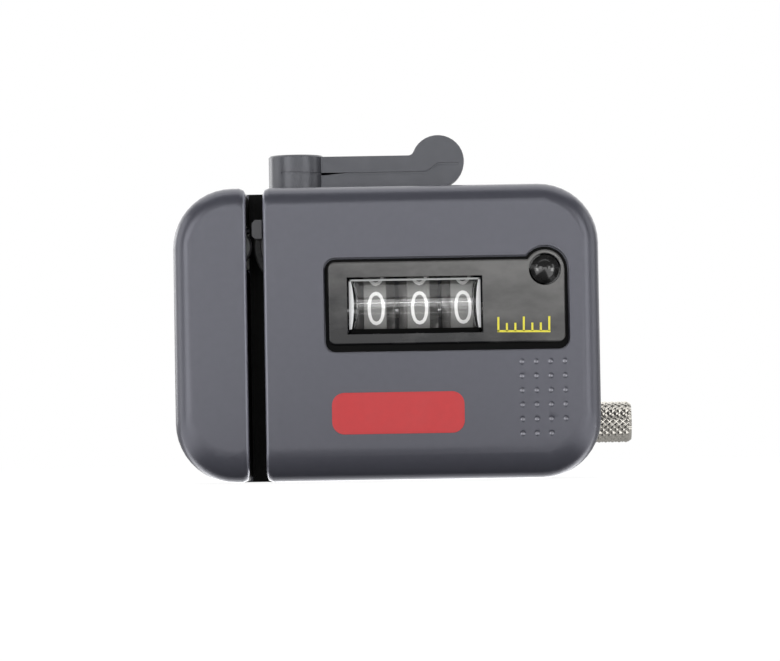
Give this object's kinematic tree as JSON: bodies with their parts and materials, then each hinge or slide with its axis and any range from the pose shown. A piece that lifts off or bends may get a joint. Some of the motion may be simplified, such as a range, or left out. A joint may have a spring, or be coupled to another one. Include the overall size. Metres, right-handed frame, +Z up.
{
  "type": "fishing line counter",
  "caption": "Clip-on fishing line counter: moulded case with line slot, measuring wheel, number drums behind a window, reset button, release lever and screw rod clamp.",
  "frame": {"origin": "middle of the case's flat underside, halfway through the case's depth", "axes": "+X to the user's right along the case, +Y from the front to the rod clamp at the back, +Z up"},
  "size_m": [0.0832, 0.0439, 0.0624],
  "materials": {
    "case_plastic": "satin moulded plastic, fine texture",
    "gloss_black": "gloss",
    "inner_plastic": "matt",
    "drum_plastic": "satin",
    "clear_plastic": "clear, polished",
    "rubber": "matt",
    "acetal": "satin natural acetal",
    "steel": "bright steel",
    "nickel": "nickel plated",
    "brass": "plain turned brass"
  },
  "bodies": {
    "case": {"left_shell": "case_plastic", "right_shell": "case_plastic", "rear_cover": "case_plastic", "case_screw_1": "steel", "case_screw_2": "steel", "case_screw_3": "steel", "case_screw_4": "steel", "bezel": "gloss_black", "lens": "clear_plastic", "line_guide": "inner_plastic", "counter_frame": "steel", "shaft_bush": "brass", "pinion_axle": "steel", "clamp_mount_screw_1": "steel", "clamp_mount_screw_2": "steel", "clamp_base": "case_plastic", "fixed_pad": "rubber", "button_spring": "steel", "pressure_spring": "steel"},
    "measuring_wheel": {"wheel_hub": "acetal", "wheel_tyre": "rubber", "wheel_shaft": "steel", "worm": "brass"},
    "units": {"worm_gear": "acetal", "drum_axle": "steel", "units_drum": "drum_plastic"},
    "tens": {"tens_drum": "drum_plastic"},
    "hundreds": {"hundreds_drum": "drum_plastic"},
    "carry_tens": {"carry_pinion_tens": "acetal"},
    "carry_hundreds": {"carry_pinion_hundreds": "acetal"},
    "release_lever": {"lever": "case_plastic", "lever_cam": "acetal"},
    "roller_carriage": {"roller_slide": "acetal", "roller_pin": "steel"},
    "roller": {"pressure_roller": "steel"},
    "button": {"reset_button": "gloss_black", "reset_bar": "inner_plastic"},
    "jaw": {"clamp_jaw": "case_plastic", "jaw_pad": "rubber"},
    "screw": {"clamp_screw": "steel", "screw_collar": "steel", "thumb_knob": "nickel"}
  },
  "joints": [
    {"name": "wheel_spin", "type": "hinge", "parent": "case", "child": "measuring_wheel", "pos_m": [-0.01553, -0.009, 0.0422], "axis": [0, 1, 0], "continuous": true},
    {"name": "units_spin", "type": "hinge", "parent": "case", "child": "units", "pos_m": [0, 0.0006, 0.0307], "axis": [1, 0, 0], "continuous": true},
    {"name": "tens_spin", "type": "hinge", "parent": "case", "child": "tens", "pos_m": [0.0057, 0.0006, 0.0307], "axis": [1, 0, 0], "continuous": true},
    {"name": "hundreds_spin", "type": "hinge", "parent": "case", "child": "hundreds", "pos_m": [-0.0021, 0.0006, 0.0307], "axis": [1, 0, 0], "continuous": true},
    {"name": "carry_tens_spin", "type": "hinge", "parent": "case", "child": "carry_tens", "pos_m": [0.0096, 0.0006, 0.01698], "axis": [1, 0, 0], "continuous": true},
    {"name": "carry_hundreds_spin", "type": "hinge", "parent": "case", "child": "carry_hundreds", "pos_m": [0.0018, 0.0006, 0.01698], "axis": [1, 0, 0], "continuous": true},
    {"name": "lever_swing", "type": "hinge", "parent": "case", "child": "release_lever", "pos_m": [-0.016, 0.0025, 0.0529], "axis": [0, 0, 1], "range_deg": [-90, 0]},
    {"name": "roller_travel", "type": "slide", "parent": "case", "child": "roller_carriage", "axis": [1, 0, 0], "range_m": [-0.0016, 0], "deforming": ["pressure_spring"]},
    {"name": "roller_spin", "type": "hinge", "parent": "roller_carriage", "child": "roller", "pos_m": [-0.02726, -0.009, 0.0422], "axis": [0, 1, 0], "continuous": true},
    {"name": "button_push", "type": "slide", "parent": "case", "child": "button", "axis": [0, 1, 0], "range_m": [0, 0.0016], "stiffness_N_per_m": 400, "deforming": ["button_spring"]},
    {"name": "screw_turn", "type": "hinge", "parent": "case", "child": "screw", "pos_m": [0.038, 0.02465, 0.01005], "axis": [1, 0, 0], "range_deg": [-1801, 3344]},
    {"name": "jaw_travel", "type": "slide", "parent": "case", "child": "jaw", "axis": [1, 0, 0], "range_m": [-0.0065, 0.0035]}
  ],
  "couplings": [
    {"joint": "units_spin", "follows": "wheel_spin", "ratio": 0.016667},
    {"joint": "tens_spin", "follows": "wheel_spin", "ratio": 0.0016667},
    {"joint": "hundreds_spin", "follows": "wheel_spin", "ratio": 0.00016667},
    {"joint": "carry_tens_spin", "follows": "wheel_spin", "ratio": -0.0041667},
    {"joint": "carry_hundreds_spin", "follows": "wheel_spin", "ratio": -0.00041667},
    {"joint": "lever_swing", "follows": "roller_travel", "rad_per_m": 981.75},
    {"joint": "screw_turn", "follows": "jaw_travel", "rad_per_m": -8976}
  ]
}
